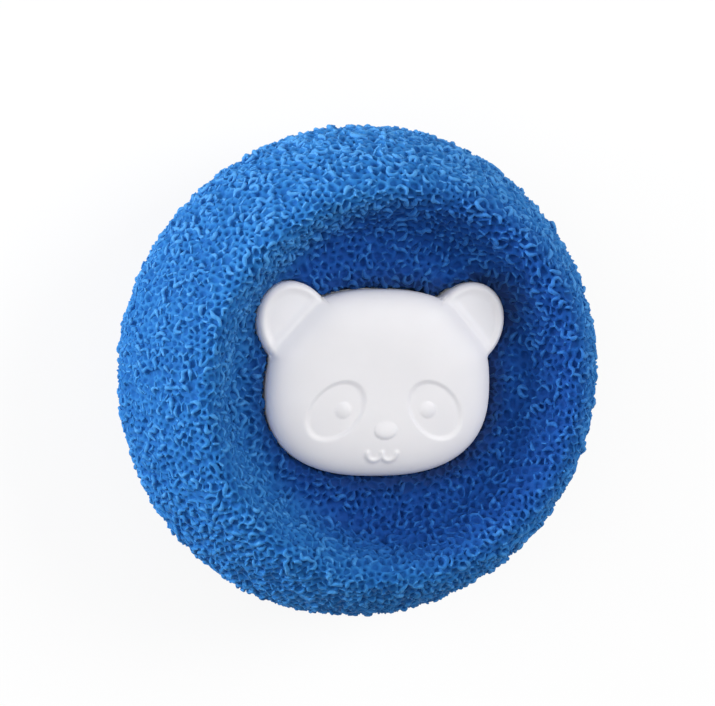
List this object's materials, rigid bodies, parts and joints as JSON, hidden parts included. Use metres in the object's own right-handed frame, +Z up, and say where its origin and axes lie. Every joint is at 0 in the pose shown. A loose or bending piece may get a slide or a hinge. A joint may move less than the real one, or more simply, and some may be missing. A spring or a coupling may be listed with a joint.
{
  "type": "pet hair laundry ball",
  "caption": "Open-cell sponge ring with a dish on each side, clamped by two pull-off bear-face halves on a slotted hub, to catch pet hair in a washing machine.",
  "frame": {"origin": "middle of the ball's footprint, on the surface that it lies on", "axes": "+Z up along the ball's axis, from the rear face to the front face; +Y from the front face's chin to its forehead; +X to its right as seen from the front"},
  "size_m": [0.065, 0.065, 0.0305],
  "materials": {
    "blue_sponge": "open-cell polyurethane sponge, mid blue, matt, with paler cell edges over darker pits",
    "white_plastic": "moulded white polypropylene, satin",
    "face_plastic": "moulded white polypropylene, satin, softly rounded edges"
  },
  "bodies": {
    "core": {"sponge_ring": "blue_sponge", "hub_column": "white_plastic"},
    "front_half": {"front_base_plate": "white_plastic", "front_face_shell": "face_plastic"},
    "rear_half": {"rear_base_plate": "white_plastic", "rear_face_shell": "face_plastic"}
  },
  "joints": [
    {"name": "front_half_pull_off", "type": "slide", "parent": "core", "child": "front_half", "axis": [0, 0, 1], "range_m": [0, 0.016]},
    {"name": "rear_half_pull_off", "type": "slide", "parent": "core", "child": "rear_half", "axis": [0, 0, -1], "range_m": [0, 0.016]}
  ]
}
